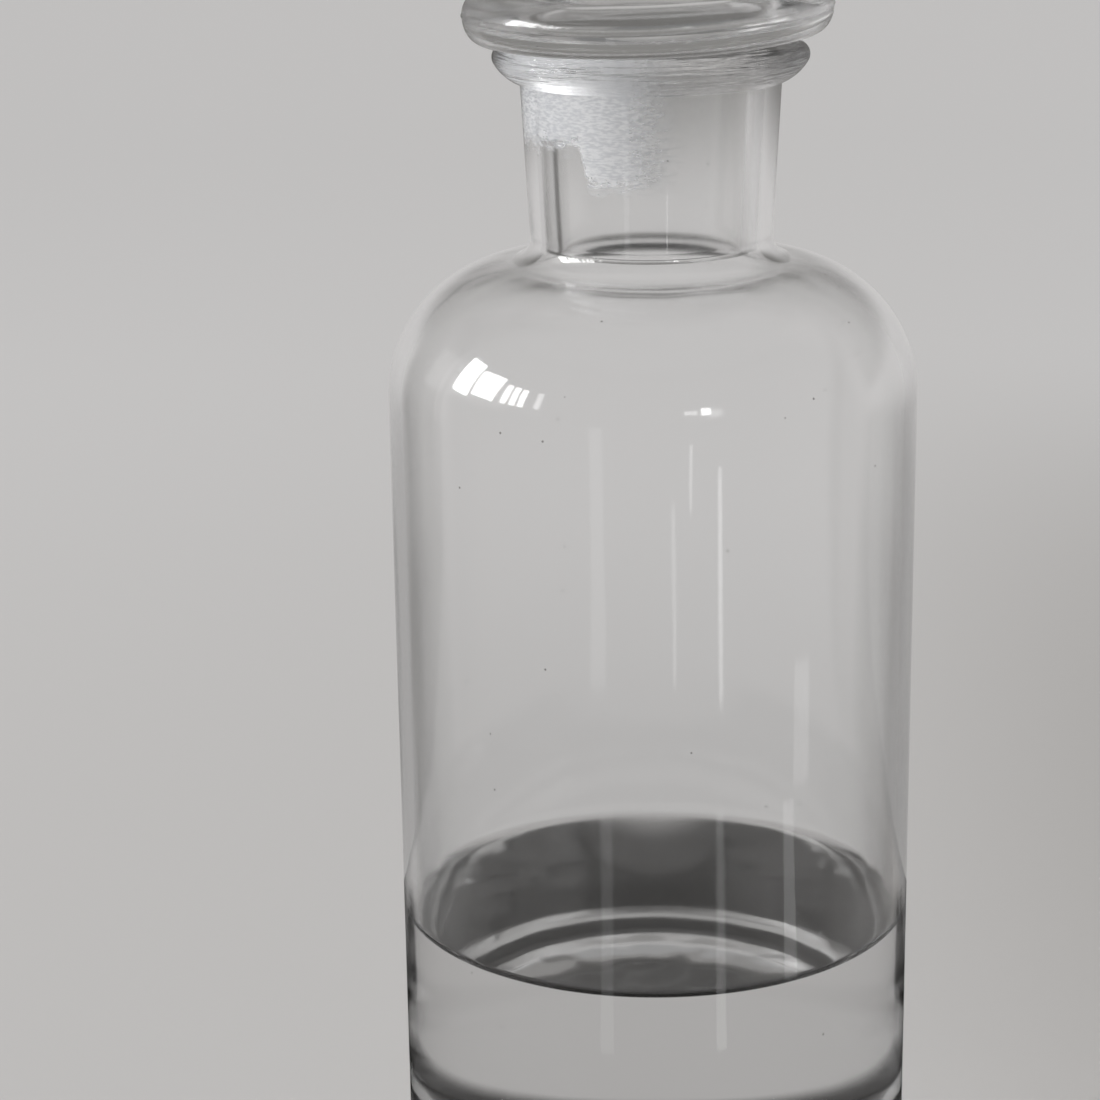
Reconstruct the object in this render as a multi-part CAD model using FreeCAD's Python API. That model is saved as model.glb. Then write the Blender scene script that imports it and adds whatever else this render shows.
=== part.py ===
import FreeCAD, Part

# Glass reagent bottle with a ground-in stopper, and the clear liquid in it.
# Millimetres, +Z up the axis. The origin is the centre of the ring that the bottle stands on.
# Every piece is turned about the axis, so each is drawn as a half section (radius, height).

import math
import os

# Body and shoulder
body_diameter = 105.0
body_wall = 2.6
side_height = 178.0             # from the standing ring to where the shoulder starts to round over
shoulder_radius = 27.0          # outer round of the shoulder

# Base
heel_radius = 4.0               # outer round between the side and the standing ring
standing_ring_width = 2.3       # flat ring that the bottle stands on
push_up_depth = 1.8             # height of the hollow under the middle of the base
push_up_flat_radius = 32.0      # flat middle of that hollow, from which it slopes down to the ring
base_thickness = 5.0            # glass over the push-up
floor_corner_radius = 5.0       # inner round between the floor and the side

# Neck and its ground socket
neck_length = 41.5              # from the crown of the shoulder to the top of the lip
socket_mouth_diameter = 45.0
socket_taper = 1.0 / 10.0       # loss of diameter per length
neck_wall = 3.2
neck_foot_radius = 4.5          # outer hollow round between the shoulder and the neck
neck_foot_inner_radius = 7.5    # inner rounded edge at the same place
mouth_radius = 1.5              # inner edge of the lip

# Lip
lip_overhang = 5.0              # beyond the outside of the neck
lip_height = 7.4
lip_edge_radius = 2.2           # tight round of the upper outer edge
lip_under_radius = 9.0          # slack round of the underside

# Stopper
joint_clearance = 0.12          # between the plug and the socket, square to the axis
plug_end_above_crown = 1.5      # from the crown of the shoulder up to the lower end of the plug
plug_wall = 3.0
plug_hollow_corner_radius = 6.0
plug_end_radius = 1.1           # round of the plug's lower rim
head_gap = 2.1                  # between the lip and the underside of the head
head_overhang = 5.0             # beyond the lip
head_lower_height = 4.7         # from the underside to the widest ring
head_upper_height = 4.6         # from the widest ring to the rim of the top
head_lower_round = 2.8          # how far the rounds come in from the widest ring
head_upper_round = 5.0
head_crown = 0.6                # rise of the top face to its middle
head_root_radius = 1.0          # hollow round between the plug and the head

# Liquid
liquid_level = 68.8
liquid_clearance = 0.1          # to the glass
meniscus_width = 3.0
meniscus_height = 2.4

body_radius = body_diameter / 2
inner_radius = body_radius - body_wall
crown_height = side_height + shoulder_radius
lip_top = crown_height + neck_length
taper_slope = socket_taper / 2
taper_angle = math.atan(taper_slope)


def at(radius, height):
    """A point of the half section."""
    return FreeCAD.Vector(radius, 0, height)


def straight(start, end):
    return Part.LineSegment(start, end).toShape()


def rounded(centre, start, end):
    """An arc of under half a turn about a centre."""
    towards_middle = ((start - centre) + (end - centre)).normalize()
    middle = centre + towards_middle * (start - centre).Length
    return Part.Arc(start, middle, end).toShape()


def quarter_oval(centre, start, end):
    """A quarter of an oval whose two half axes run from the centre to its ends."""
    first = start - centre
    second = end - centre
    if first.Length < second.Length:
        oval = Part.Ellipse(end, start, centre)
    else:
        oval = Part.Ellipse(start, end, centre)
    turns = sorted([oval.parameter(start), oval.parameter(end)])
    if turns[1] - turns[0] > math.pi:
        turns = [turns[1], turns[0] + 2 * math.pi]
    return Part.ArcOfEllipse(oval, turns[0], turns[1]).toShape()


def cap_radius(half_width, rise):
    """Radius of a shallow round cap."""
    return (half_width ** 2 + rise ** 2) / (2 * rise)


def turned(edges):
    """The solid that a closed half section sweeps round the axis."""
    section = Part.Face(Part.Wire(Part.__sortEdges__(edges)))
    return section.revolve(at(0, 0), FreeCAD.Vector(0, 0, 1), 360)


class Cone:
    """A slightly tapering wall, with its radius at the height of the lip's top."""

    across = FreeCAD.Vector(math.cos(taper_angle), 0, -math.sin(taper_angle))

    def __init__(self, radius_at_lip):
        self.radius_at_lip = radius_at_lip

    def point(self, height):
        return at(self.radius_at_lip - taper_slope * (lip_top - height), height)

    def shifted(self, distance):
        """The same cone, moved out by a distance square to its wall."""
        return Cone(self.radius_at_lip + distance / math.cos(taper_angle))

    def foot_round(self, centre, radius, edge_radius):
        """The round that touches this wall from outside and rests on a circle: centre, then both touching points."""
        offset = self.shifted(edge_radius)
        reach = radius + edge_radius
        base = offset.point(0).x - centre.x
        a = 1 + taper_slope ** 2
        b = 2 * (base * taper_slope - centre.z)
        c = base ** 2 + centre.z ** 2 - reach ** 2
        middle = offset.point((-b + math.sqrt(b ** 2 - 4 * a * c)) / (2 * a))
        on_wall = middle - self.across * edge_radius
        on_circle = centre + (middle - centre) * (radius / reach)
        return middle, on_wall, on_circle


socket = Cone(socket_mouth_diameter / 2)
neck_outside = Cone(socket.radius_at_lip + neck_wall)
plug_outside = Cone(socket.radius_at_lip - joint_clearance)
plug_inside = Cone(plug_outside.radius_at_lip - plug_wall)
lip_radius = neck_outside.radius_at_lip + lip_overhang
shoulder_centre = at(body_radius - shoulder_radius, side_height)
inner_shoulder_radius = shoulder_radius - body_wall

# Floor of the bottle: it follows the push-up's flat middle and slope, with a round corner to the side
standing_ring_outer = body_radius - heel_radius
standing_ring_inner = standing_ring_outer - standing_ring_width
floor_height = push_up_depth + base_thickness
slope_angle = math.atan(push_up_depth / (standing_ring_inner - push_up_flat_radius))
slope_upwards = at(math.sin(slope_angle), math.cos(slope_angle))
floor_corner_reach = inner_radius - floor_corner_radius
floor_corner_centre = at(
    floor_corner_reach,
    floor_height
    - math.tan(slope_angle) * (floor_corner_reach - push_up_flat_radius)
    + floor_corner_radius / math.cos(slope_angle),
)


def floor_edges(clearance):
    """Floor and corner of the inside, drawn in by a clearance, from the axis out to the side."""
    corner = floor_corner_radius - clearance
    middle = at(0, floor_height + clearance)
    bend = at(push_up_flat_radius + clearance * math.tan(slope_angle / 2), middle.z)
    touch = floor_corner_centre - slope_upwards * corner
    side = floor_corner_centre + at(corner, 0)
    edges = [
        straight(middle, bend),
        straight(bend, touch),
        rounded(floor_corner_centre, touch, side),
    ]
    return edges, middle, side


def base_edges():
    """Push-up, standing ring and heel, from the axis out to the side."""
    push_up_top = at(0, push_up_depth)
    push_up_edge = at(push_up_flat_radius, push_up_depth)
    ring_inner = at(standing_ring_inner, 0)
    ring_outer = at(standing_ring_outer, 0)
    side = at(body_radius, heel_radius)
    edges = [
        straight(push_up_top, push_up_edge),
        straight(push_up_edge, ring_inner),
        straight(ring_inner, ring_outer),
        rounded(at(standing_ring_outer, heel_radius), ring_outer, side),
    ]
    return edges, push_up_top, side


def lip_edges():
    """Lip, from where its underside leaves the neck, over its top, to the socket."""
    foot = neck_outside.point(lip_top - lip_height)
    edge_centre = at(lip_radius - lip_edge_radius, lip_top - lip_edge_radius)
    top_outer = edge_centre + at(0, lip_edge_radius)
    # The underside's larger circle touches the edge's circle from outside, and passes through the foot
    to_foot = foot - edge_centre
    growth = lip_under_radius - lip_edge_radius
    along = (lip_under_radius ** 2 - to_foot.Length ** 2 - growth ** 2) / (2 * growth)
    turn = math.atan2(to_foot.z, to_foot.x) + math.acos(along / to_foot.Length)
    outward = at(math.cos(turn), math.sin(turn))
    blend = edge_centre + outward * lip_edge_radius
    under_centre = edge_centre - outward * growth
    widest = at(lip_radius, edge_centre.z)
    # The mouth's round touches the flat top and the socket's wall
    socket_end = socket.point(lip_top - mouth_radius * (1 - math.sin(taper_angle)))
    mouth_centre = socket_end + Cone.across * mouth_radius
    top_inner = mouth_centre + at(0, mouth_radius)
    edges = [
        rounded(under_centre, foot, blend),
        rounded(edge_centre, blend, widest),
        rounded(edge_centre, widest, top_outer),
        straight(top_outer, top_inner),
        rounded(mouth_centre, top_inner, socket_end),
    ]
    return edges, foot, socket_end


def glass_bottle():
    base, push_up_top, heel_end = base_edges()
    floor, floor_middle, side_foot = floor_edges(0)
    lip, lip_foot, socket_end = lip_edges()
    outer_foot, neck_start, shoulder_end = neck_outside.foot_round(
        shoulder_centre, shoulder_radius, neck_foot_radius)
    inner_foot, socket_start, inner_shoulder_end = socket.foot_round(
        shoulder_centre, inner_shoulder_radius, neck_foot_inner_radius)
    side_top = at(body_radius, side_height)
    inner_side_top = at(inner_radius, side_height)
    outside = [
        straight(heel_end, side_top),
        rounded(shoulder_centre, side_top, shoulder_end),
        rounded(outer_foot, shoulder_end, neck_start),
        straight(neck_start, lip_foot),
    ]
    inside = [
        straight(socket_end, socket_start),
        rounded(inner_foot, socket_start, inner_shoulder_end),
        rounded(shoulder_centre, inner_shoulder_end, inner_side_top),
        straight(inner_side_top, side_foot),
    ]
    axis = [straight(floor_middle, push_up_top)]
    return turned(base + outside + lip + inside + floor + axis)


def head_edges(underside):
    """Disc head, from the inner end of its underside, round the rim, to the middle of its top."""
    widest_radius = lip_radius + head_overhang
    widest = at(widest_radius, underside.z + head_lower_height)
    under_rim = at(widest_radius - head_lower_round, underside.z)
    top_rim = at(widest_radius - head_upper_round, widest.z + head_upper_height)
    top_middle = at(0, top_rim.z + head_crown)
    crown_centre = at(0, top_middle.z - cap_radius(top_rim.x, head_crown))
    edges = [
        straight(underside, under_rim),
        quarter_oval(at(under_rim.x, widest.z), under_rim, widest),
        quarter_oval(at(top_rim.x, widest.z), widest, top_rim),
        rounded(crown_centre, top_rim, top_middle),
    ]
    return edges, top_middle


def plug_hollow_edges(rim_inner, hollow_top):
    """Hollow of the plug, open below, from its rim up to its flat roof on the axis."""
    corner_height = hollow_top - plug_hollow_corner_radius * (1 + math.sin(taper_angle))
    wall_end = plug_inside.point(corner_height)
    corner_centre = wall_end - Cone.across * plug_hollow_corner_radius
    roof_outer = corner_centre + at(0, plug_hollow_corner_radius)
    roof_middle = at(0, roof_outer.z)
    edges = [
        straight(rim_inner, wall_end),
        rounded(corner_centre, wall_end, roof_outer),
        straight(roof_outer, roof_middle),
    ]
    return edges, roof_middle


def ground_stopper():
    underside_height = lip_top + head_gap
    plug_end = crown_height + plug_end_above_crown
    # Lower rim: a round on each edge of the plug's wall
    rim_height = plug_end + plug_end_radius
    rim_outer = plug_outside.point(rim_height)
    rim_inner = plug_inside.point(rim_height)
    outer_round = rim_outer - at(plug_end_radius, 0)
    inner_round = rim_inner + at(plug_end_radius, 0)
    rim = [
        rounded(outer_round, rim_outer, outer_round - at(0, plug_end_radius)),
        straight(outer_round - at(0, plug_end_radius), inner_round - at(0, plug_end_radius)),
        rounded(inner_round, inner_round - at(0, plug_end_radius), rim_inner),
    ]
    # Root: the hollow round that joins the plug to the head
    root_end = plug_outside.point(underside_height - head_root_radius * (1 - math.sin(taper_angle)))
    root_centre = root_end + Cone.across * head_root_radius
    underside = at(root_centre.x, root_centre.z + head_root_radius)
    wall = [
        straight(rim_outer, root_end),
        rounded(root_centre, root_end, underside),
    ]
    head, top_middle = head_edges(underside)
    hollow, roof_middle = plug_hollow_edges(rim_inner, lip_top)
    axis = [straight(roof_middle, top_middle)]
    return turned(rim + wall + head + axis + hollow)


def clear_liquid():
    floor, floor_middle, side_foot = floor_edges(liquid_clearance)
    wet_radius = inner_radius - liquid_clearance
    surface_middle = at(0, liquid_level)
    surface_edge = at(wet_radius - meniscus_width, liquid_level)
    wet_line = at(wet_radius, liquid_level + meniscus_height)
    meniscus_centre = surface_edge + at(0, cap_radius(meniscus_width, meniscus_height))
    fill = [
        straight(side_foot, wet_line),
        rounded(meniscus_centre, wet_line, surface_edge),
        straight(surface_edge, surface_middle),
        straight(surface_middle, floor_middle),
    ]
    return turned(floor + fill)


os.makedirs("parts", exist_ok=True)
for piece in (glass_bottle, ground_stopper, clear_liquid):
    solid = piece()
    solid.exportStep("parts/" + piece.__name__ + ".step")
    size = solid.BoundBox
    print(piece.__name__, solid.ShapeType, "valid" if solid.isValid() else "invalid",
          round(solid.Volume / 1000, 1), "ml", "height", round(size.ZMin, 2), "to", round(size.ZMax, 2))
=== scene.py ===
# %% [markdown]
# # A stoppered reagent bottle in clear glass
# The real object is three turned pieces: a blown bottle, a pressed stopper ground into its neck, and
# the liquid inside. Clear glass shows nothing of its own: all one sees is what it bends and mirrors.
# So the shapes are turned finely here, with the wall's true thickness, and the light gets as much care.
# Sizes of turned pieces are in millimetres, and the lathe makes them metres. Lamps and screens are in metres.

import math

import bpy
from mathutils import Matrix, Vector


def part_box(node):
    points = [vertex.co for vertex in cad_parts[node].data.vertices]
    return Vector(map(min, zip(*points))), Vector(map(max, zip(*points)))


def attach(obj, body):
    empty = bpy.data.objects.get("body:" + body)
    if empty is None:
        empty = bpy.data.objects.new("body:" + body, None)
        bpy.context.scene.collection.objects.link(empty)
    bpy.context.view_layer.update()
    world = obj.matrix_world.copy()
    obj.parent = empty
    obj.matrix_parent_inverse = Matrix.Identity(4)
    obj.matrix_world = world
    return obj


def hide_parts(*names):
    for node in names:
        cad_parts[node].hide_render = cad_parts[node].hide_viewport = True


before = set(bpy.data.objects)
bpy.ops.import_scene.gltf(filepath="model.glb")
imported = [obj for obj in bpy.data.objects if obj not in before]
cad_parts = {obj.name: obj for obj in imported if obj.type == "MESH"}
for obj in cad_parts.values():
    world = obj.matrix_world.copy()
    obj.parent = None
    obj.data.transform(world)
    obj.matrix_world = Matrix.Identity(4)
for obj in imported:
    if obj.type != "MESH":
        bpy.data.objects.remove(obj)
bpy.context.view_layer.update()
bpy.context.scene.view_settings.view_transform = "Standard"
mm = 0.001

# %% [markdown]
# ## The camera
# The photograph is a close view, slightly from above, with the bottle right of the middle and cut off at
# both ends. Aiming a Track To at the bottle would lose the slight tilt, so the camera's turn, dip and tilt
# are written as three angles, found by laying the bottle's own outlines over the photograph.

# %% Camera
camera_place = Vector((0.0, -0.5408, 0.3013))
camera_turn_left = math.radians(2.21)
camera_dip = math.radians(16.12)
camera_tilt = math.radians(-0.88)
lens_length = 90.8                  # on a sensor 36 mm wide
nearest_seen = 0.01

bpy.ops.object.select_all(action="DESELECT")
bpy.ops.object.camera_add(location=camera_place)
camera = bpy.context.object
aim = Matrix.Rotation(camera_turn_left, 3, "Z")
aim = aim @ Matrix.Rotation(math.pi / 2 - camera_dip, 3, "X")
aim = aim @ Matrix.Rotation(camera_tilt, 3, "Z")
camera.rotation_euler = aim.to_euler()
camera.data.lens = lens_length
camera.data.clip_start = nearest_seen
bpy.context.scene.camera = camera
print("Camera at", [round(c, 3) for c in camera.location])

# %% [markdown]
# ## The lathe
# Every piece here is round, so each is a half section turned about the bottle's axis. A cylinder with
# extruded rings would do as well, but a section is easier to read: it is a list of corners, each with its
# round, as on a workshop drawing. The rounds become arcs, and long straight runs are divided, because
# smooth shading bends the light wrongly over a face that is long and narrow.

# %% Outline
arc_step = math.radians(4)
fewest_arc_steps = 3


def round_corner(before, corner, after, size):
    """Points of a round: an arc for one size, an oval for the pair of its lengths before and after."""
    to_before = (before - corner).normalized()
    to_after = (after - corner).normalized()
    half = to_before.angle(to_after) / 2
    sweep = math.pi - 2 * half
    steps = max(fewest_arc_steps, math.ceil(sweep / arc_step))
    shares = [step / steps for step in range(steps + 1)]
    if isinstance(size, tuple):
        start = to_before * size[0] * mm
        end = to_after * size[1] * mm
        turns = [share * math.pi / 2 for share in shares]
        return [corner + start * (1 - math.sin(turn)) + end * (1 - math.cos(turn)) for turn in turns]
    radius = size * mm
    centre = corner + (to_before + to_after).normalized() * (radius / math.sin(half))
    reach = radius / math.tan(half)
    start = corner + to_before * reach - centre
    end = corner + to_after * reach - centre
    return [
        centre + (start * math.sin((1 - share) * sweep) + end * math.sin(share * sweep)) / math.sin(sweep)
        for share in shares
    ]


def outline_through(corners, longest_run):
    """Points (radius, height) in metres through corners (radius, height, round) in mm."""
    places = [Vector((radius, height)) * mm for radius, height, size in corners]
    sizes = [size for radius, height, size in corners]
    outline = [places[0]]
    for before, corner, after, size in zip(places, places[1:], places[2:], sizes[1:]):
        outline += round_corner(before, corner, after, size) if size else [corner]
    outline.append(places[-1])
    points = [outline[0]]
    for here, there in zip(outline, outline[1:]):
        parts = max(1, math.ceil((there - here).length / (longest_run * mm)))
        points += [here.lerp(there, part / parts) for part in range(1, parts + 1)]
    return points


print("Rounds have a point every", round(math.degrees(arc_step)), "degrees")

# %% Lathe
turn_steps = 240
weld_distance = 0.0005 * mm
crease_angle = math.radians(35)
glass_run = 3                       # longest straight run on a glass piece, in mm


def turned(name, corners, longest_run=glass_run):
    """A turned piece: its half section is drawn by extruding one vertex, then swept round the axis."""
    outline = outline_through(corners, longest_run)
    bpy.ops.object.select_all(action="DESELECT")
    bpy.ops.mesh.primitive_plane_add(size=mm)
    piece = bpy.context.object
    piece.name = name
    bpy.ops.object.mode_set(mode="EDIT")
    bpy.ops.mesh.merge(type="CENTER")
    bpy.ops.transform.translate(value=(outline[0].x, 0, outline[0].y))
    for here, there in zip(outline, outline[1:]):
        step = (there.x - here.x, 0, there.y - here.y)
        bpy.ops.mesh.extrude_vertices_move(TRANSFORM_OT_translate={"value": step})
    bpy.ops.object.mode_set(mode="OBJECT")
    lathe = piece.modifiers.new("lathe", "SCREW")
    lathe.steps = turn_steps
    lathe.render_steps = turn_steps
    lathe.use_merge_vertices = True
    lathe.merge_threshold = weld_distance
    bpy.ops.object.modifier_apply(modifier="lathe")
    bpy.ops.object.mode_set(mode="EDIT")
    bpy.ops.mesh.select_all(action="SELECT")
    bpy.ops.mesh.remove_doubles(threshold=weld_distance)
    bpy.ops.mesh.normals_make_consistent(inside=False)
    bpy.ops.object.mode_set(mode="OBJECT")
    bpy.ops.object.shade_smooth_by_angle(angle=crease_angle)
    print(name, "has", len(outline), "rings and", len(piece.data.polygons), "faces")
    return piece


print("The lathe takes", turn_steps, "steps round the axis")

# %% [markdown]
# ## The bottle
# The bottle is blown into a mould: an even wall, a round shoulder, and a base pushed up in the middle so
# that it stands on a ring. The neck is worked afterwards, with a rounded lip outside and a tapered socket
# inside. Outside and inside are one closed line here, because glass needs both of its faces to bend light.
# A Solidify modifier would give the wall too, but not the base, which is thicker, or the socket's taper.

# %% Bottle heights and walls
bottle_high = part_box("glass_bottle")[1]     # the upper corner of its box
liquid_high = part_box("clear_liquid")[1]
body_radius = bottle_high.x / mm
lip_top = bottle_high.z / mm
wet_line = liquid_high.z / mm       # how far up the liquid climbs the wall
body_wall = 2.6
neck_length = 41.5
neck_wall = 3.2
socket_radius = 22.5                # at the lip's top
socket_slope = 0.05                 # loss of radius per height
lip_height = 7.4
lip_overhang = 5.0


def cone_radius(radius_at_lip, height):
    """Radius of a wall that tapers with the socket, at a height."""
    return radius_at_lip - socket_slope * (lip_top - height)


inner_radius = body_radius - body_wall
neck_radius = socket_radius + neck_wall
lip_radius = neck_radius + lip_overhang
lip_foot = lip_top - lip_height
crown = lip_top - neck_length
inner_crown = crown - body_wall
print("Body and neck are", round(body_radius, 1), "and", round(neck_radius, 1), "mm in radius")

# %% Bottle base
sharp = 0                           # the round of a corner that stays sharp
push_up = 1.8                       # of the base's flat middle
push_up_flat = 32.0                 # radius of that middle
push_up_round = 60
base_glass = 5.0
ring_inner = 46.2                   # of the ring that the bottle stands on
ring_inner_round = 0.8
ring_outer = 48.5
ring_outer_round = 0.3
heel_round = 3.8
floor_corner = 5.0

floor_top = push_up + base_glass
push_up_slope = push_up / (ring_inner - push_up_flat)
floor_edge = floor_top - push_up_slope * (inner_radius - push_up_flat)
base_corners = [
    (0, push_up, sharp),
    (push_up_flat, push_up, push_up_round),
    (ring_inner, 0, ring_inner_round),
    (ring_outer, 0, ring_outer_round),
    (body_radius, 0, heel_round),
]
print("The base's inner face is", round(floor_top, 1), "mm up, and", round(floor_edge, 1), "at the wall")

# %% Bottle shoulder, neck and lip
shoulder_round = 27.0
shoulder_drop = 2.6                 # from the neck's foot down to the shoulder's corner
neck_foot_rise = 0.3
neck_foot_round = 4.3
lip_hollow_in = 2.05                # the corner of the hollow under the lip, from the lip's edge
lip_hollow_up = 1.06                # and from the lip's foot
lip_hollow_round = 9
lip_edge_out = 1.6                  # the top corner stands out, and its round brings the edge back
lip_edge_round = 2.2
mouth_round = 1.5
inner_foot_rise = 0.5
inner_foot_round = 7
inner_shoulder_drop = 3.6
outside_corners = [
    (body_radius, crown - shoulder_drop, shoulder_round),
    (cone_radius(neck_radius, crown), crown + neck_foot_rise, neck_foot_round),
    (cone_radius(neck_radius, lip_foot), lip_foot, sharp),
    (lip_radius - lip_hollow_in, lip_foot + lip_hollow_up, lip_hollow_round),
    (lip_radius + lip_edge_out, lip_top, lip_edge_round),
]
inside_corners = [
    (socket_radius, lip_top, mouth_round),
    (cone_radius(socket_radius, inner_crown), inner_crown + inner_foot_rise, inner_foot_round),
    (inner_radius, inner_crown - inner_shoulder_drop, shoulder_round - body_wall),
    (inner_radius, wet_line, sharp),
    (inner_radius, floor_edge, floor_corner),
    (push_up_flat, floor_top, push_up_round),
    (0, floor_top, sharp),
]
bottle = turned("bottle_glass_body", base_corners + outside_corners + inside_corners)

# %% [markdown]
# ## The stopper
# The stopper is pressed in two halves of a mould, which leave a fine seam round its widest ring, and its
# plug is ground to the socket's taper. It is hollow below. Plug and head could be two meshes, but a face
# between them would show in clear glass, so they are one section. The seam is a real ridge of three corners.

# %% Stopper
stopper_low, stopper_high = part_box("ground_stopper")
plug_end = stopper_low.z / mm
head_top = stopper_high.z / mm
head_radius = stopper_high.x / mm
joint_clearance = 0.12
plug_wall = 3
plug_end_round = 1.1
hollow_round = 6
head_gap = 2.1                      # between the lip and the head
head_root_round = 1
head_under_oval = (2.8, 4.5)
head_top_oval = (4.4, 5)
head_edge_drop = 0.6                # of the flat crown's edge below its middle
head_crown_radius = 15
head_crown_round = 200
seam_rise = 4.7                     # above the head's underside
seam_height = 0.2
seam_width = 0.45

plug_radius = socket_radius - joint_clearance
plug_hollow = plug_radius - plug_wall
head_under = lip_top + head_gap
seam_line = head_under + seam_rise
stopper_corners = [
    (0, lip_top, sharp),
    (cone_radius(plug_hollow, lip_top), lip_top, hollow_round),
    (cone_radius(plug_hollow, plug_end), plug_end, plug_end_round),
    (cone_radius(plug_radius, plug_end), plug_end, plug_end_round),
    (cone_radius(plug_radius, head_under), head_under, head_root_round),
    (head_radius, head_under, head_under_oval),
    (head_radius, seam_line - seam_width / 2, sharp),
    (head_radius + seam_height, seam_line, sharp),
    (head_radius, seam_line + seam_width / 2, sharp),
    (head_radius, head_top - head_edge_drop, head_top_oval),
    (head_crown_radius, head_top, head_crown_round),
    (0, head_top, sharp),
]
stopper = turned("stopper_glass_body", stopper_corners)

# %% [markdown]
# ## The leaning head
# The head of a pressed stopper is seldom square to its plug: here it leans to the front and left by some
# three degrees, as far as the lip leaves room. A bend would curve the flat crown, and turning the whole
# stopper would press the plug into its socket, so only the head's points are turned, about its underside.

# %% Leaning head
lean_front = math.radians(3.03)
lean_left = math.radians(1.41)
head_shift = Vector((-0.45, 0, 0)) * mm
underside_margin = 0.01             # takes in the points of the underside itself
lean = Matrix.Rotation(lean_front, 3, "X") @ Matrix.Rotation(-lean_left, 3, "Y")
lean_middle = Vector((0, 0, head_under * mm))
for corner in stopper.data.vertices:
    if corner.co.z > (head_under - underside_margin) * mm:
        corner.co = lean_middle + head_shift + lean @ (corner.co - lean_middle)
print("Head leans by", round(math.degrees(math.hypot(lean_front, lean_left)), 1), "degrees")

# %% [markdown]
# ## The liquid
# The liquid fills the lower third and climbs the wall in a narrow hollow rim, the meniscus, which is the
# dark line round its surface. Where liquid and glass touch, light passes from the one into the other
# with hardly a reflection. Two faces with a gap would shine like foil there, so only the wall's own face
# bends the light, and the liquid's side and floor, a hair inside it, will get a finish that bends nothing.

# %% Liquid
meniscus_width = 3.0
meniscus_height = 2.4
rim_inset = 0.2                     # of the rim's oval from the wall
rim_edge = 0.1                      # straight part that is left at the rim's top
hair = 0.02
liquid_level = wet_line - meniscus_height
wet_radius = inner_radius - hair
liquid_corners = [
    (0, floor_top + hair, sharp),
    (push_up_flat, floor_top + hair, push_up_round),
    (wet_radius, floor_edge + hair, floor_corner),
    (wet_radius, wet_line, sharp),
    (wet_radius - rim_inset, liquid_level, (meniscus_height - rim_edge, meniscus_width)),
    (0, liquid_level, sharp),
]
liquid = turned("clear_reagent_liquid", liquid_corners)

# %% [markdown]
# ## Uneven base
# The base is the thickest glass and cools last, so it is never flat: it breaks up what is seen through
# it. A bump in the finish would do for one face, but both faces of the base and the liquid on it have to
# follow, so the meshes themselves are pushed up and down by a cloudy texture.

# %% Uneven base
uneven_margin = 3                   # kept even beside the ring
uneven_above = 2                    # above the base's inner face
uneven_size = 11 * mm
uneven_depth = 0.5 * mm
uneven_reach = ring_inner - uneven_margin
uneven_height = floor_top + uneven_above
clouds = bpy.data.textures.new("base_clouds", "CLOUDS")
clouds.noise_scale = uneven_size


def make_base_uneven(piece):
    """Moves the points of a piece's base, but not those near its ring."""
    base_points = [
        corner.index for corner in piece.data.vertices
        if corner.co.z < uneven_height * mm and corner.co.xy.length < uneven_reach * mm
    ]
    group = piece.vertex_groups.new(name="base")
    group.add(base_points, 1, "REPLACE")
    bpy.ops.object.select_all(action="DESELECT")
    bpy.context.view_layer.objects.active = piece
    uneven = piece.modifiers.new("uneven", "DISPLACE")
    uneven.texture = clouds
    uneven.texture_coords = "LOCAL"
    uneven.direction = "Z"
    uneven.vertex_group = group.name
    uneven.strength = uneven_depth
    bpy.ops.object.modifier_apply(modifier="uneven")
    print(piece.name, "has", len(base_points), "points in its uneven base")


make_base_uneven(bottle)
make_base_uneven(liquid)

# %% [markdown]
# ## Shader sums
# A finish is worked out from the place on the surface, with sums on masks and noise. Wiring Math nodes by
# hand hides such sums, so a small class wraps a socket: Python's own signs then add the nodes. A second
# class knows where a point of a turned piece is: how far round, how high and how far from the axis.

# %% Shader helper


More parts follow.
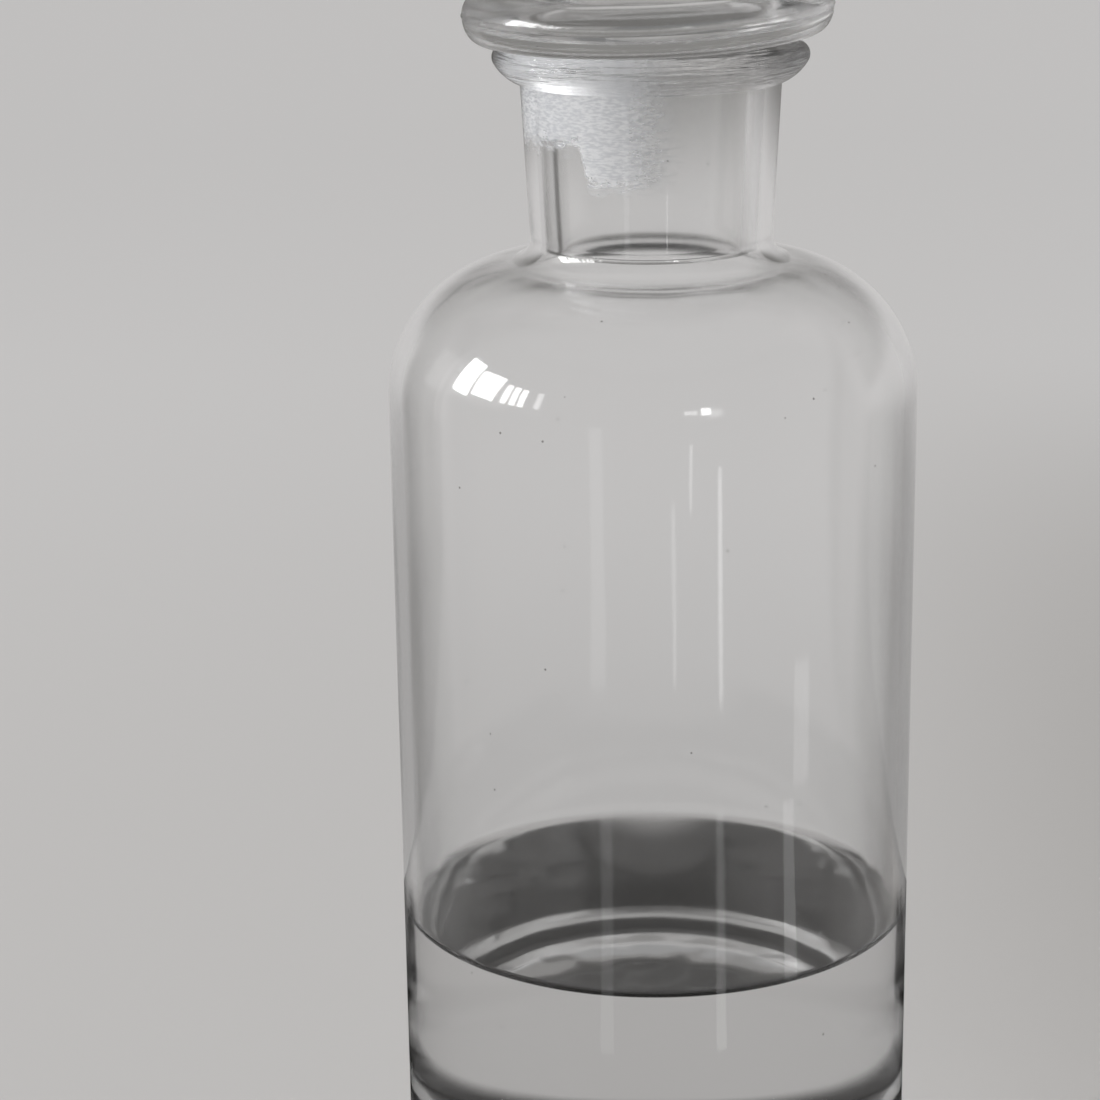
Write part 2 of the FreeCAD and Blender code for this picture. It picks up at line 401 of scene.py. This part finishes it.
class Shade:
    """A value, colour or shader in a material's node tree."""

    def __init__(self, tree, socket=None):
        self.tree = tree
        self.socket = socket

    def node(self, kind, settings=None, sockets=None, output=0):
        """Adds any node: its settings first, then the values or links of its sockets."""
        made = self.tree.nodes.new(kind)
        for name, value in (settings or {}).items():
            setattr(made, name, value)
        for name, value in (sockets or {}).items():
            if isinstance(value, Shade):
                self.tree.links.new(value.socket, made.inputs[name])
            else:
                made.inputs[name].default_value = value
        return Shade(self.tree, made.outputs[output]) if made.outputs else made

    def maths(self, operation, *values):
        """A sum by its name in the Math node."""
        return self.node("ShaderNodeMath", {"operation": operation}, dict(enumerate(values)))

    def __add__(self, other):
        return self.maths("ADD", self, other)

    def __radd__(self, other):
        return self.maths("ADD", other, self)

    def __sub__(self, other):
        return self.maths("SUBTRACT", self, other)

    def __rsub__(self, other):
        return self.maths("SUBTRACT", other, self)

    def __mul__(self, other):
        return self.maths("MULTIPLY", self, other)

    def __rmul__(self, other):
        return self.maths("MULTIPLY", other, self)

    def __abs__(self):
        return self.maths("ABSOLUTE", self)

    def root(self):
        """The square root."""
        return self.maths("SQRT", self)

    def most(self, other):
        """The larger of two values."""
        return self.maths("MAXIMUM", self, other)

    def rise(self, low, high):
        """0 below the low value, 1 above the high one, with a soft step between."""
        limits = {"Value": self, "From Min": low, "From Max": high}
        return self.node("ShaderNodeMapRange", {"interpolation_type": "SMOOTHSTEP"}, limits)

    def fall(self, low, high):
        """1 below the low value, 0 above the high one."""
        return 1 - self.rise(low, high)

    def band(self, low, high, soft):
        """1 between two values, 0 outside them, with soft steps."""
        return self.rise(low - soft, low + soft) * self.fall(high - soft, high + soft)

    def part(self, axis):
        """One part of a vector: X, Y or Z."""
        return self.node("ShaderNodeSeparateXYZ", {}, {0: self}, axis)

    def blend(self, first, second):
        """The first colour where this mask is 0, the second where it is 1."""
        # The Mix node's colour sockets go by number, because their names repeat
        colours = {0: self, 6: first, 7: second}
        return self.node("ShaderNodeMix", {"data_type": "RGBA"}, colours, 2)


def new_finish(name):
    """An empty material, and the start of its node tree."""
    finish = bpy.data.materials.new(name)
    finish.use_nodes = True
    finish.node_tree.nodes.clear()
    return finish, Shade(finish.node_tree)


def surface_place(shade):
    """The place of a point on its own piece, in metres."""
    return shade.node("ShaderNodeTexCoord", {}, {}, "Object")


print("Shader sums are ready")

# %% Place on a piece


class Place:
    """Where a point of a turned piece is: its turn from the front, positive to the right, and so on."""

    def __init__(self, shade):
        self.at = surface_place(shade)
        x = self.at.part("X")
        y = self.at.part("Y")
        self.height = self.at.part("Z")
        self.turn = x.maths("ARCTAN2", x, 0 - y)
        self.radius = (x * x + y * y).root()

    def noise(self, size, stretch=1, detail=2):
        """Grains of a size in mm, drawn out upwards by a stretch."""
        scale = (1 / (size * mm), 1 / (size * mm), 1 / (size * stretch * mm))
        scaled = self.at.node("ShaderNodeMapping", {}, {"Vector": self.at, "Scale": scale})
        return self.at.node("ShaderNodeTexNoise", {}, {"Vector": scaled, "Scale": 1.0, "Detail": detail})


print("A place gives the turn, radius and height of a point, and noise there")

# %% [markdown]
# ## Faults of the glass
# Glass has no colour to paint. What tells it from a computer's glass are its small faults: a wall that
# waves slowly, finger smudges, and specks of dust and sand. They could be modelled, but they are far
# finer than the mesh, so they are a bump, a change of roughness and dark points in the finish.

# %% Glass faults
speck_spacing = 9                   # mm
speck_reach = 0.034                 # of the spacing
speck_core = 0.6                    # of the reach, fully dark
smudge_size = 14                    # mm
smudge_stretch = 2
smudge_detail = 3
smudge_low = 0.02                   # roughness of clean glass
smudge_high = 0.1                   # roughness of glass that was often handled
wall_wave_size = 26                 # mm
wall_wave_stretch = 5
wall_wave_depth = 0.35              # mm


def specks(place):
    """1 in small dark points, thinly spread over the glass."""
    cells = {"Vector": place.at, "Scale": 1 / (speck_spacing * mm)}
    distance = place.at.node("ShaderNodeTexVoronoi", {"feature": "F1"}, cells, "Distance")
    return distance.fall(speck_reach * speck_core, speck_reach)


def wall_waves(place):
    """Slow waves of a blown wall, drawn out upwards, in mm."""
    return place.noise(wall_wave_size, wall_wave_stretch) * wall_wave_depth


def smudges(place):
    """The roughness of glass that was handled, cleaner in some places than in others."""
    uneven = place.noise(smudge_size, smudge_stretch, smudge_detail)
    return smudge_low + uneven * (smudge_high - smudge_low)


print("Specks are up to", round(2 * speck_reach * speck_spacing, 1), "mm across")

# %% [markdown]
# ## The ground joint
# Plug and socket are ground into each other with wet grit, which leaves both faces matt and white. A film
# of liquid fills the scratches where the joint is wet, and it is clear there, so only a dry patch at the
# front left shows. The patch could be painted on an image. Here it is worked out from the turn and the
# height, with noise that frays its edges, and the same sum serves the socket and the plug.

# %% Dry patch
frost_left = math.radians(-96)
frost_right = math.radians(3)
frost_step = math.radians(-34)      # left of this the matt patch ends higher up
frost_step_soft = 0.06              # radians
frost_foot_right = 221.5 * mm
frost_foot_left = 229 * mm
frost_edge = 2.2 * mm
frost_edge_turn = 0.26              # radians
frost_ragged_size = 2.4             # mm
frost_ragged_stretch = 0.4
frost_ragged_detail = 4
frost_ragged_reach = 7 * mm
frost_ragged_turn = 0.45            # radians
noise_middle = 0.5
mouth_margin = 1                    # mm below the lip's top, in which the patch fades out
cone_reach = 0.8 * mm
cone_soft = 0.3 * mm


def matt_patch(place):
    """1 on the dry part of the ground joint, with a ragged edge."""
    ragged = place.noise(frost_ragged_size, frost_ragged_stretch, frost_ragged_detail) - noise_middle
    at_left = place.turn.fall(frost_step - frost_step_soft, frost_step + frost_step_soft)
    foot = frost_foot_right + at_left * (frost_foot_left - frost_foot_right)
    above = (place.height + ragged * frost_ragged_reach - foot).rise(-frost_edge, frost_edge)
    aside = (place.turn + ragged * frost_ragged_turn).band(frost_left, frost_right, frost_edge_turn)
    return above * aside * place.height.fall((lip_top - mouth_margin) * mm, lip_top * mm)


def near_cone(place, radius_at_lip):
    """1 close to a tapered wall."""
    wall = radius_at_lip * mm - socket_slope * (lip_top * mm - place.height)
    return (place.radius - wall).band(-cone_reach, cone_reach, cone_soft)


def dry_joint(place, radius_at_lip):
    """1 where a ground wall is matt."""
    return matt_patch(place) * near_cone(place, radius_at_lip)


print("The dry patch spans", round(math.degrees(frost_right - frost_left)), "degrees of the neck")

# %% Ground white
frost_roughness = 0.25              # added to the clear glass
frost_white = (0.97, 0.98, 1, 1)
frost_grey = (0.6, 0.62, 0.66, 1)   # in the scratches
frost_white_roughness = 0.7
frost_cover = 0.5                   # of the white over the clear glass
grain_size = 1.3                    # mm
grain_stretch = 0.3
grain_detail = 5
grain_step = (0.38, 0.62)


def grinding_grain(place):
    """0 in the scratches of the grinding, which run level, and 1 between them."""
    return place.noise(grain_size, grain_stretch, grain_detail).rise(*grain_step)


def ground_white(shade):
    """The white that the ground grains add."""
    tone = grinding_grain(Place(shade)).blend(frost_grey, frost_white)
    sockets = {"Base Color": tone, "Roughness": frost_white_roughness}
    return shade.node("ShaderNodeBsdfPrincipled", {}, sockets)


print("Grinding scratches are about", round(grain_size * grain_stretch, 1), "mm high")

# %% [markdown]
# ## Clear finishes
# Each finish is a Principled shader that lets light through, with the index of what lies on its two sides:
# glass to air, glass to liquid, or liquid to air. The ground white lies over it in the socket. A Glass
# shader would bend light as well, but a glTF export reads a Principled one. Lamps would need caustics to
# shine through glass, which are slow and noisy, so a face lets a lamp's rays straight through. The lip
# also has the fine rings of the tool that went round it, and the pressed head is a little rougher.

# %% Clear finish
glass_index = 1.5
water_index = 1.333
no_bend = 1.0                       # the index of a face that bends nothing
glass_colour = (1, 1, 1, 1)
lamp_through = (0.85, 0.85, 0.85, 1)   # what a face lets through of a lamp's light


def ray_fact(shade, fact):
    """What is known of a light ray, such as 1 where a face has bent it, or how often one mirrored it."""
    return shade.node("ShaderNodeLightPath", {}, {}, fact)


def clear_finish(name, index, look=None, white=None):
    """A clear material of a refractive index, what its look varies, and where it is ground white."""
    finish, shade = new_finish(name)
    sockets = {"Base Color": glass_colour, "Roughness": 0.0, "IOR": index, "Transmission Weight": 1.0}
    sockets.update(look(Place(shade)) if look else {})
    body = shade.node("ShaderNodeBsdfPrincipled", {}, sockets)
    if white:
        ground = ground_white(shade)
        body = shade.node("ShaderNodeMixShader", {}, {0: white(Place(shade)), 1: body, 2: ground})
    through = shade.node("ShaderNodeBsdfTransparent", {}, {"Color": lamp_through})
    body = shade.node("ShaderNodeMixShader", {}, {0: ray_fact(shade, "Is Shadow Ray"), 1: body, 2: through})
    shade.node("ShaderNodeOutputMaterial", {}, {"Surface": body})
    return finish


print("Light bends by", glass_index, "in glass and by", water_index, "in the liquid")

# %% Looks of the pieces
speck_colour = (0.25, 0.24, 0.23, 1)
lip_ring_size = 16                  # mm along the lip
lip_ring_stretch = 0.045
lip_ring_detail = 3
lip_ring_depth = 1.6                # mm
lip_ring_edge = (0.5, 1.5)          # mm outside the neck and above the lip's foot
head_roughness = 0.09               # of the pressed head, which isn't polished
head_rough_from = 2                 # mm above the head's underside


def bump(height):
    """A normal that is bent by a height in mm."""
    return height.node("ShaderNodeBump", {}, {"Height": height, "Distance": mm})


def on_lip(place):
    """1 on the outside of the lip."""
    start, full = lip_ring_edge
    above = place.height.rise((lip_foot + start) * mm, (lip_foot + full) * mm)
    return above * place.radius.rise((neck_radius + start) * mm, (neck_radius + full) * mm)


def socket_white(place):
    """How much of the ground white covers the socket."""
    return dry_joint(place, socket_radius) * frost_cover


def bottle_look(place):
    """What varies on the bottle where it meets air."""
    lip_rings = place.noise(lip_ring_size, lip_ring_stretch, lip_ring_detail) * lip_ring_depth
    return {
        "Base Color": specks(place).blend(glass_colour, speck_colour),
        "Roughness": smudges(place) + dry_joint(place, socket_radius) * frost_roughness,
        "Normal": bump(wall_waves(place) + on_lip(place) * lip_rings),
    }


def stopper_look(place):
    """What varies on the stopper."""
    on_head = place.height.rise((head_under + head_rough_from) * mm, seam_line * mm)
    matt = dry_joint(place, plug_radius)
    return {
        "Base Color": specks(place).blend(glass_colour, speck_colour),
        "Roughness": smudges(place) + matt * frost_roughness + on_head * head_roughness,
        "Normal": bump(wall_waves(place)),
    }


def wet_look(place):
    """What varies on the bottle where it meets the liquid."""
    return {"Normal": bump(wall_waves(place))}


print("Lip rings are about", round(lip_ring_size * lip_ring_stretch, 1), "mm apart")

# %% [markdown]
# ## Finishes on their faces
# The bottle's inner face meets air above the liquid and liquid below it, so it takes two finishes, and the
# liquid has one for its free surface and one against the glass. Faces could be picked by their number, but
# that would break with every change of the section, so they are chosen by where they are and look.

# %% Finishes on their faces


def all_over(face):
    return True


def faces_in_or_up(face):
    """Whether a face looks towards the axis or up, as the inside of a vessel does."""
    towards_axis = -Vector((face.center.x, face.center.y, 0)).normalized()
    return face.normal.dot(towards_axis) + face.normal.z > 0


def is_wet(face):
    return face.center.z < wet_line * mm and faces_in_or_up(face)


def give_finish(piece, finish, chosen):
    """Puts a finish on the faces for which the chosen rule holds."""
    piece.data.materials.append(finish)
    place = len(piece.data.materials) - 1
    count = 0
    for face in piece.data.polygons:
        if chosen(face):
            face.material_index = place
            count += 1
    print(finish.name, "is on", count, "faces of", piece.name)


give_finish(bottle, clear_finish("bottle_clear_glass", glass_index, bottle_look, socket_white), all_over)
give_finish(bottle, clear_finish("bottle_wet_glass", glass_index / water_index, wet_look), is_wet)
give_finish(stopper, clear_finish("stopper_clear_glass", glass_index, stopper_look), all_over)
give_finish(liquid, clear_finish("liquid_against_glass", no_bend), all_over)
give_finish(liquid, clear_finish("liquid_surface", water_index), faces_in_or_up)

# %% [markdown]
# ## The sweep
# The bottle stands on a round paper sweep: a pale floor that curves up all round, as in a photographer's
# studio. Lamps alone could light it, but then its tone would hang on every lamp, so most of what the camera
# sees of it is a glow of its own, and the rest is lit paper that keeps the bottle's shadow. The glow carries
# painted shade: darker near the bottle, to its right and high up. Clear glass is drawn by the tones around
# it: rays that the glass bends or mirrors see the side of the camera darker, in more painted shade.

# %% Sweep
sweep_radius = 2400                 # mm
sweep_curve = 700
sweep_top = 3000
sweep_below = 0.4                   # under the bottle's ring
sweep_run = 400
sweep_corners = [
    (0, -sweep_below, sharp),
    (sweep_radius, -sweep_below, sweep_curve),
    (sweep_radius, sweep_top, sharp),
]
sweep = turned("studio_sweep", sweep_corners, sweep_run)

# %% Tones of the sweep
pale = (0.62, 0.61, 0.605, 1)
# The shaded tones, the tone above and the front tones are painted shade in the sweep's glow.
shaded = (0.36, 0.345, 0.33, 1)
painted_shade_above = (0.3, 0.3, 0.3, 1)
painted_shade_front = (0.33, 0.325, 0.32, 1)
painted_shade_front_mirrored = (0.06, 0.06, 0.06, 1)
paper_tone = (0.7, 0.69, 0.68, 1)
glow_share = 0.8                    # the rest is lit paper, which keeps the bottle's shadow
near_shade = 0.35
near_depth = (0.05, 0.9)            # soft steps, in metres from the bottle
shade_at_right = (0.0, 0.24)
painted_shade_above_height = (0.5, 2.0)
front_depth = (-0.5, 0.15)
mirror_depth = (0.0, 0.7)

finish, shade = new_finish("studio_pale_paper")
seen_direct = ray_fact(shade, "Is Camera Ray")
mirrored = ray_fact(shade, "Is Glossy Ray")
bent = ray_fact(shade, "Is Transmission Ray")
at = surface_place(shade)
x = at.part("X")
y = at.part("Y")
height = at.part("Z")
near = y.fall(*near_depth)
# Painted shade in the glow: darker near the bottle and to its right, darker high up, and darker in front in
# what the glass bends, nearly black there in what it mirrors.
tone = (near * near_shade).blend(pale, shaded)
tone = (x.rise(*shade_at_right) * near).blend(tone, shaded)
tone = height.rise(*painted_shade_above_height).blend(tone, painted_shade_above)
tone = (y.fall(*front_depth) * bent).blend(tone, painted_shade_front)
tone = (y.fall(*mirror_depth) * mirrored * (1 - bent)).blend(tone, painted_shade_front_mirrored)
glow = shade.node("ShaderNodeEmission", {}, {"Color": tone, "Strength": 1.0})
matte = shade.node("ShaderNodeBsdfDiffuse", {}, {"Color": paper_tone})
glowing = (seen_direct * glow_share).most(mirrored.most(bent))
both = shade.node("ShaderNodeMixShader", {}, {0: glowing, 1: matte, 2: glow})
shade.node("ShaderNodeOutputMaterial", {}, {"Surface": both})
sweep.data.materials.append(finish)
print("The camera sees", round(100 * glow_share), "percent of the sweep as its own glow")

# %% [markdown]
# ## The card behind
# A photographer sets a card close behind clear glass: what the glass bends of it gives the body its tone,
# and its darker sides, painted shade, draw the edges. The card could stand in the picture, but the floor and
# backdrop have to stay plain, so the camera doesn't see it. Only rays that the glass bends or mirrors meet
# it.
# Its foot and a band above also carry painted shade, and what was mirrored on the way shows it dimmer, more
# painted shade, so that the liquid's surface stays dark.

# %% Card behind
card_behind = 0.0762                # from the bottle's axis
card_wide = 0.8
card_foot = 0.04
card_top = 0.6
bpy.ops.object.select_all(action="DESELECT")
bpy.ops.mesh.primitive_plane_add(size=1)
card = bpy.context.object
card.name = "studio_card_behind"
bpy.ops.object.mode_set(mode="EDIT")
bpy.ops.transform.resize(value=(card_wide, card_top - card_foot, 1))
bpy.ops.transform.rotate(value=math.pi / 2, orient_axis="X", center_override=(0, 0, 0))
bpy.ops.transform.translate(value=(0, card_behind, (card_top + card_foot) / 2))
bpy.ops.object.mode_set(mode="OBJECT")
print("The card stands", round(card_behind / mm - body_radius, 1), "mm behind the bottle")

# %% Tones of the card
card_pale = (0.58, 0.57, 0.565, 1)
# The darker card tones below are painted shade in the card's glow.
card_shaded = (0.3, 0.295, 0.29, 1)
card_painted_shade_above = (0.235, 0.23, 0.222, 1)
card_painted_shade = (0.07, 0.067, 0.062, 1)
left_side = (-0.085, -0.05)         # soft steps, in metres
right_side = (0.05, 0.085)
far_left = (-0.15, -0.13)           # what the neck's left wall bends into a line
left_side_share = 0.36
right_side_share = 0.5
far_left_share = 0.9
beside_body_end = (0.135, 0.185)
low_shade_end = (0.06, 0.15)
low_shade_share = 0.3
above_low = 0.22                    # the grey band that the lip and the head bend
above_high = 0.3
above_soft = 0.02
mirrored_once = (0.2, 0.8)          # between never and once
dim_low_end = (0.11, 0.14)
dim_side_end = (0.045, 0.06)
dim_low_share = 0.65
dim_above_start = (0.2, 0.24)
dim_above_share = 0.5


def only_for_glass(screen):
    """Hides a screen from the camera and from the lamps, so that only the glass shows it."""
    screen.visible_camera = False
    screen.visible_shadow = False
    screen.visible_diffuse = False


finish, shade = new_finish("studio_pale_card")
at = surface_place(shade)
x = at.part("X")
height = at.part("Z")
# Painted shade: the card's glow is darker at its sides beside the body, and in a strip far to the left.
sides = x.fall(*left_side) * left_side_share + x.rise(*right_side) * right_side_share
dark = sides * height.fall(*beside_body_end) + x.fall(*far_left) * far_left_share
tone = dark.blend(card_pale, card_painted_shade)
# Painted shade: darker at the card's foot, and in a grey band above that the lip and the head bend.
tone = (height.fall(*low_shade_end) * low_shade_share).blend(tone, card_shaded)
tone = height.band(above_low, above_high, above_soft).blend(tone, card_painted_shade_above)
# Painted shade in what the glass mirrors: the card shows dimmer low in the middle and high up.
dim_low = height.fall(*dim_low_end) * abs(x).fall(*dim_side_end) * dim_low_share
dim_above = height.rise(*dim_above_start) * dim_above_share
dimmed = ray_fact(shade, "Glossy Depth").rise(*mirrored_once) * (dim_low + dim_above)
tone = dimmed.blend(tone, card_painted_shade)
glow = shade.node("ShaderNodeEmission", {}, {"Color": tone, "Strength": 1.0})
shade.node("ShaderNodeOutputMaterial", {}, {"Surface": glow})
card.data.materials.append(finish)
only_for_glass(card)
print("The card is", card_wide, "m wide and ends", card_foot, "m above the floor")

# %% [markdown]
# ## The felt below, painted shade
# Seen from above, the liquid's surface is as dark as what lies under the bottle. A dark floor would do it,
# but the floor has to stay pale. So a round of black felt lies on it that only the glass shows, which is
# painted shade: dense under the bottle, close behind it and in a wing at each side, which draws the
# liquid's edges, and elsewhere a thin veil. How dense it is decides how much of the floor shows through it.

# %% Felt below
felt_radius = 0.2
felt_place = (0, 0, -0.1 * mm)
felt_edges = 96
bpy.ops.object.select_all(action="DESELECT")
bpy.ops.mesh.primitive_circle_add(
    vertices=felt_edges, radius=felt_radius, fill_type="NGON", location=felt_place)
felt = bpy.context.object
felt.name = "studio_painted_shade_felt"
print("The felt is", 2 * felt_radius, "m across")

# %% Density of the felt
# The felt's black is painted shade, which only the glass shows.
painted_shade_black = (0.008, 0.007, 0.006, 1)
under_end = (0.058, 0.065)          # soft steps, in metres from the axis
behind_start = (0.0, 0.02)
behind_end = (0.06, 0.066)
behind_side = (0.07, 0.085)
middle_end = (0.066, 0.0765)        # further back, but only in the middle
middle_side = (0.012, 0.03)
middle_density = 0.9
wing_slope = 0.67
wing_end = (0.058, 0.064)
wing_start = (0.045, 0.055)
wing_inner = (0.03, 0.04)
wing_outer = (0.13, 0.16)
veil_density = 0.22

finish, shade = new_finish("studio_painted_shade_black_felt")
at = surface_place(shade)
x = at.part("X")
y = at.part("Y")
aside = abs(x)
# Painted shade: the felt is dense under the bottle, close behind it and in a wing at each side, and a thin
# veil elsewhere.
under = (x * x + y * y).root().fall(*under_end)
behind = y.rise(*behind_start) * y.fall(*behind_end) * aside.fall(*behind_side)
middle = y.rise(*behind_start) * y.fall(*middle_end) * aside.fall(*middle_side) * middle_density
wings = (y - aside * wing_slope).fall(*wing_end) * y.rise(*wing_start)
wings = wings * aside.rise(*wing_inner) * aside.fall(*wing_outer)
shade_density = under.most(behind).most(middle).most(wings).most(veil_density)
clear = shade.node("ShaderNodeBsdfTransparent")
black = shade.node("ShaderNodeBsdfDiffuse", {}, {"Color": painted_shade_black})
both = shade.node("ShaderNodeMixShader", {}, {0: shade_density, 1: clear, 2: black})
shade.node("ShaderNodeOutputMaterial", {}, {"Surface": both})
felt.data.materials.append(finish)
only_for_glass(felt)
print("The felt's veil covers", round(100 * veil_density), "percent of the floor")

# %% [markdown]
# ## Windows
# A round shoulder shrinks a whole room of light to a few bright panes. They are what makes it look hard
# and polished, so they are real lamps at the turns and rises where the shoulder mirrors them to the camera.
# Panes painted on the glass would be easier, but they would stay in place when the camera moves. Lamps seen
# through the glass would sparkle in the liquid, so only faces that mirror show them.

# %% Windows
bottle_middle = Vector((0, 0, 0.168))
near_window = 1.3
far_window = 1.4
window_radiance = 16


def soft_light(name, place, wide, high, radiance):
    """An area lamp of a width and height in metres that faces the bottle's middle."""
    lamp = bpy.data.lights.new(name, "AREA")
    lamp.shape = "RECTANGLE"
    lamp.size = wide
    lamp.size_y = high
    lamp.energy = radiance * math.pi * wide * high
    light = bpy.data.objects.new(name, lamp)
    bpy.context.collection.objects.link(light)
    light.location = place
    light.rotation_euler = (place - bottle_middle).to_track_quat("Z", "Y").to_euler()
    light.visible_camera = False
    light.visible_transmission = False
    print(name, "gives", round(lamp.energy, 3), "W")


def window_pane(name, turn, rise, wide, high, distance=far_window, radiance=window_radiance):
    """A pane seen from the bottle at a turn from the camera's side and a rise, all in degrees."""
    turn = math.radians(turn)
    rise = math.radians(rise)
    towards = Vector((math.sin(turn) * math.cos(rise), -math.cos(turn) * math.cos(rise), math.sin(rise)))
    across = 2 * distance * math.tan(math.radians(wide) / 2)
    upright = 2 * distance * math.tan(math.radians(high) / 2)
    soft_light(name, bottle_middle + towards * distance, across, upright, radiance)


window_pane("window_left_a", turn=-91.5, rise=22, wide=10, high=21, distance=near_window)
window_pane("window_left_b", turn=-78, rise=22, wide=12, high=16, distance=near_window)
window_pane("window_left_c", turn=-67, rise=20.5, wide=3, high=12.5)
window_pane("window_left_d", turn=-62.5, rise=20.5, wide=3, high=12.5)
window_pane("window_left_e", turn=-58, rise=20.5, wide=3, high=12)
window_pane("window_left_f", turn=-50, rise=20.5, wide=2.5, high=11, radiance=6)
window_pane("window_right", turn=23.5, rise=18, wide=4, high=5)
window_pane("window_right_dim", turn=16, rise=17.5, wide=6, high=3, radiance=5)

# %% [markdown]
# ## Strips
# The upright wall mirrors any light as a long streak, broad and soft or fine and bright. Long lamps far
# away would do, but where a streak ends follows from how high its lamp reaches, and near the bottle a
# short lamp is enough. The low ones stand nearest and draw the streaks across the liquid.

# %% Strips
strip_distance = 0.3
low_strip_distance = 0.15


def strip_light(name, turn, wide, low, high, radiance, distance=strip_distance):
    """A narrow upright strip close in front, which the wall mirrors as a streak."""
    turn = math.radians(turn)
    middle = Vector((math.sin(turn) * distance, -math.cos(turn) * distance, (low + high) / 2))
    soft_light(name, middle, wide, high - low, radiance)


def low_strip_light(name, turn, wide, low, high, radiance):
    strip_light(name, turn, wide, low, high, radiance, low_strip_distance)


strip_light("strip_broad_left", turn=-22, wide=0.025, low=0.05, high=0.21, radiance=0.9)
strip_light("strip_middle_left", turn=8, wide=0.006, low=0.05, high=0.1, radiance=2)
strip_light("strip_middle", turn=14.5, wide=0.006, low=0.1, high=0.15, radiance=3)
strip_light("strip_middle_right", turn=26, wide=0.008, low=0.045, high=0.11, radiance=3.5)
strip_light("strip_right", turn=62, wide=0.04, low=0.015, high=0.05, radiance=1.2)
strip_light("strip_far_left", turn=-115, wide=0.008, low=0.02, high=0.15, radiance=3)
low_strip_light("strip_low_left", turn=-17.3, wide=0.012, low=0.012, high=0.068, radiance=0.7)
low_strip_light("strip_low_middle", turn=24, wide=0.008, low=0.012, high=0.068, radiance=1.3)
low_strip_light("strip_low_right", turn=51.5, wide=0.012, low=0.025, high=0.068, radiance=1.3)

# %% [markdown]
# ## The room's light
# An even grey light comes from all sides, so that no shadow is black. More lamps would do the same, but
# each would leave its own mirror image on the glass. A ray that goes through glass, liquid and glass again
# passes many faces, so it is followed for longer than Blender does by itself.

# %% Room
room_grey = (0.2, 0.2, 0.2, 1)
most_bounces = 32
most_mirrors = 16
world = bpy.data.worlds.new("dim_room")
bpy.context.scene.world = world
world.use_nodes = True
world.node_tree.nodes["Background"].inputs["Color"].default_value = room_grey
bpy.context.scene.cycles.max_bounces = most_bounces
bpy.context.scene.cycles.transmission_bounces = most_bounces
bpy.context.scene.cycles.glossy_bounces = most_mirrors
print("Rays are followed over", most_bounces, "faces")

# %% [markdown]
# ## The pieces join their bodies
# The liquid stays with the bottle, and the stopper lifts out along its own joint. Parenting by hand would
# move the meshes too, but riding on a body by its name also holds when the model is posed elsewhere. Each
# piece stands for the CAD node of the same shape.

# %% The pieces join their bodies
for piece, node, body, slot in (
    (bottle, "glass_bottle", "bottle", "bottle_glass"),
    (stopper, "ground_stopper", "stopper", "stopper_glass"),
    (liquid, "clear_liquid", "bottle", "liquid"),
):
    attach(piece, body)
    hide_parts(node)
    print(piece.name, "rides on", body, "and stands for", node)
